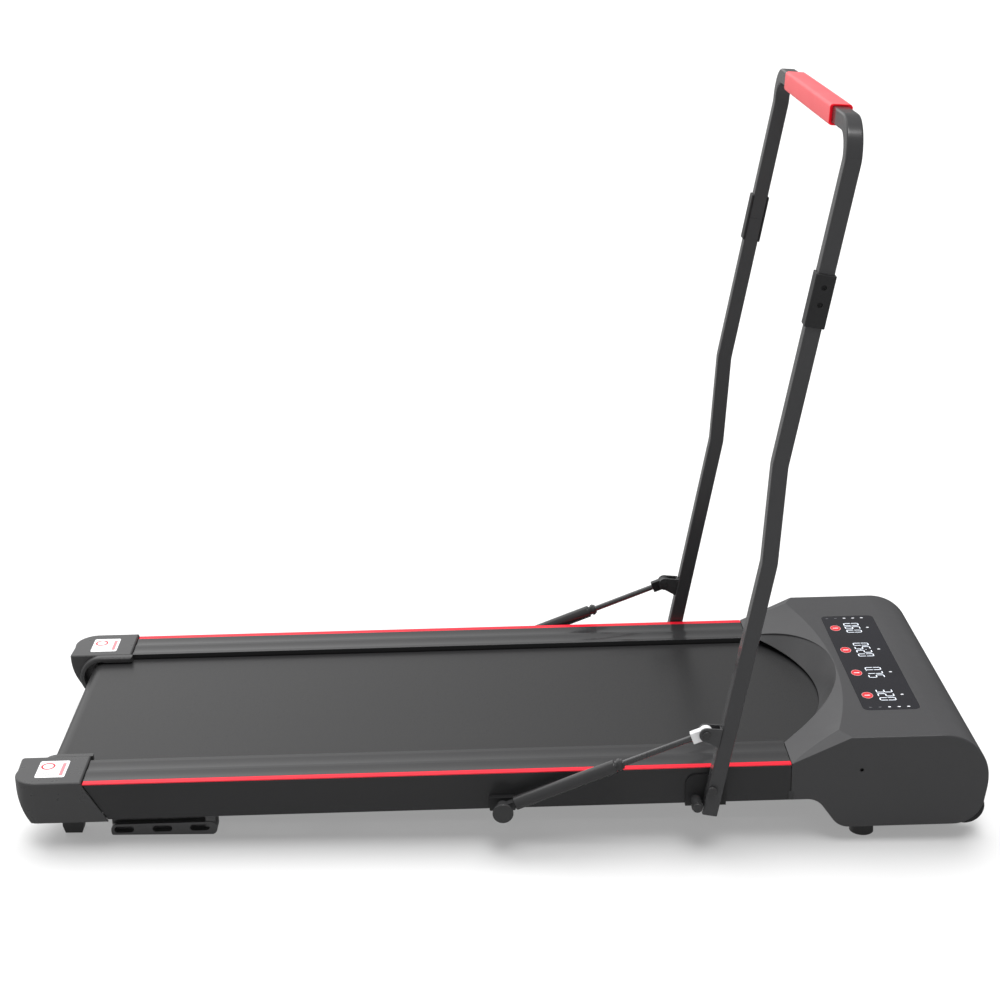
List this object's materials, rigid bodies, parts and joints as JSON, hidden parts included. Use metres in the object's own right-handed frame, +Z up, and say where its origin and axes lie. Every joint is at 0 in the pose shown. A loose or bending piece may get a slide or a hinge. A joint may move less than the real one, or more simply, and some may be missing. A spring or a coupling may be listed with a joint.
{
  "type": "folding walking pad treadmill",
  "caption": "Flat motorised walking-pad treadmill: belt between two foot rails, front motor hood with display, and a U-shaped handrail folding down on gas struts.",
  "frame": {"origin": "centre of the outer box on the floor", "axes": "+X forward towards the motor hood, +Y to the user's left, +Z up; the deck rises 1.28 degrees forward"},
  "size_m": [1.2851, 0.5412, 0.9579],
  "materials": {
    "graphite_paint": "satin powder coat",
    "black_steel": "black e-coat",
    "black_plastic": "fine moulded texture",
    "red_plastic": "bright red",
    "label_film": "white film",
    "window_plastic": "smoked gloss",
    "circuit_board": "solder mask",
    "foam": "closed-cell foam",
    "belt_rubber": "diamond texture",
    "foot_rubber": "matt",
    "board": "black phenolic film on fibreboard",
    "bright_steel": "bright zinc and ground steel",
    "alloy": "cast and turned"
  },
  "bodies": {
    "deck": {"side_frame_left": "black_steel", "side_frame_right": "black_steel", "cross_members": "black_steel", "deck_board": "board", "deck_cushions": "foot_rubber", "side_rail_left": "graphite_paint", "side_rail_right": "graphite_paint", "rail_stripes": "red_plastic", "rear_cap_left": "black_plastic", "rear_cap_right": "black_plastic", "cap_labels": "label_film", "motor_hood": "black_plastic", "belly_pan": "black_steel", "console_window": "window_plastic", "display_board": "circuit_board", "running_belt": "belt_rubber", "roller_axles": "bright_steel", "tension_bolts": "bright_steel", "motor_can": "alloy", "motor_bracket": "black_steel", "drive_belt": "belt_rubber", "motor_controller": "circuit_board", "power_inlet": "black_plastic", "switch_housing": "black_plastic", "hood_screws": "bright_steel", "wheel_brackets": "black_steel", "wheel_axles": "bright_steel", "front_feet": "foot_rubber", "rear_feet": "foot_rubber", "foot_bars": "foot_rubber", "pivot_brackets": "graphite_paint", "pivot_bolts": "bright_steel", "stop_bolts": "black_steel", "strut_bosses": "graphite_paint", "strut_pins": "black_plastic"},
    "front_roller": {"front_roller": "bright_steel", "front_bearings": "bright_steel", "roller_pulley": "alloy"},
    "rear_roller": {"rear_roller": "bright_steel", "rear_bearings": "bright_steel"},
    "motor_rotor": {"motor_shaft": "bright_steel", "motor_pulley": "alloy"},
    "power_switch": {"power_switch": "red_plastic"},
    "wheel_left": {"transport_wheel_left": "black_plastic"},
    "wheel_right": {"transport_wheel_right": "black_plastic"},
    "handrail": {"lower_upright_left": "graphite_paint", "lower_upright_right": "graphite_paint", "upper_handrail": "graphite_paint", "joint_sleeve_left": "black_plastic", "joint_sleeve_right": "black_plastic", "sleeve_screws": "bright_steel", "grip": "foam", "strut_clevises": "graphite_paint", "clevis_pins": "bright_steel"},
    "strut_cylinder_left": {"strut_cylinder_left": "black_steel"},
    "strut_cylinder_right": {"strut_cylinder_right": "black_steel"},
    "strut_rod_left": {"strut_rod_left": "bright_steel", "rod_end_left": "alloy"},
    "strut_rod_right": {"strut_rod_right": "bright_steel", "rod_end_right": "alloy"}
  },
  "joints": [
    {"name": "handrail_fold", "type": "hinge", "parent": "deck", "child": "handrail", "pos_m": [0.26774, 0, 0.09275], "axis": [0, -1, 0], "range_deg": [0, 97]},
    {"name": "strut_hinge_left", "type": "hinge", "parent": "handrail", "child": "strut_rod_left", "pos_m": [0.25693, 0.2541, 0.17353], "axis": [0, 1, 0], "range_deg": [0, 117.72]},
    {"name": "strut_stroke_left", "type": "slide", "parent": "strut_rod_left", "child": "strut_cylinder_left", "axis": [0.9259, 0, 0.3777], "range_m": [0, 0.08886]},
    {"name": "strut_hinge_right", "type": "hinge", "parent": "handrail", "child": "strut_rod_right", "pos_m": [0.25693, -0.2541, 0.17353], "axis": [0, 1, 0], "range_deg": [0, 117.72]},
    {"name": "strut_stroke_right", "type": "slide", "parent": "strut_rod_right", "child": "strut_cylinder_right", "axis": [0.9259, 0, 0.3777], "range_m": [0, 0.08886]},
    {"name": "front_roller_spin", "type": "hinge", "parent": "deck", "child": "front_roller", "pos_m": [0.46479, 0, 0.09276], "axis": [0, 1, 0], "continuous": true},
    {"name": "rear_roller_spin", "type": "hinge", "parent": "deck", "child": "rear_roller", "pos_m": [-0.58995, 0, 0.06919], "axis": [0, 1, 0], "continuous": true},
    {"name": "motor_spin", "type": "hinge", "parent": "deck", "child": "motor_rotor", "pos_m": [0.55604, 0, 0.08269], "axis": [0, 1, 0], "continuous": true},
    {"name": "power_switch_rock", "type": "hinge", "parent": "deck", "child": "power_switch", "pos_m": [0.6282, -0.098, 0.0763], "axis": [0, 1, 0], "range_deg": [-6, 6]},
    {"name": "wheel_spin_left", "type": "hinge", "parent": "deck", "child": "wheel_left", "pos_m": [0.61811, 0.197, 0.03507], "axis": [0, 1, 0], "continuous": true},
    {"name": "wheel_spin_right", "type": "hinge", "parent": "deck", "child": "wheel_right", "pos_m": [0.61811, -0.197, 0.03507], "axis": [0, 1, 0], "continuous": true}
  ],
  "couplings": [
    {"joint": "strut_hinge_left", "follows": "handrail_fold", "ratio": 1.2135},
    {"joint": "strut_stroke_left", "follows": "handrail_fold", "m_per_rad": 0.052479},
    {"joint": "strut_hinge_right", "follows": "handrail_fold", "ratio": 1.2135},
    {"joint": "strut_stroke_right", "follows": "handrail_fold", "m_per_rad": 0.052479},
    {"joint": "rear_roller_spin", "follows": "front_roller_spin", "ratio": 1},
    {"joint": "motor_spin", "follows": "front_roller_spin", "ratio": 2}
  ]
}
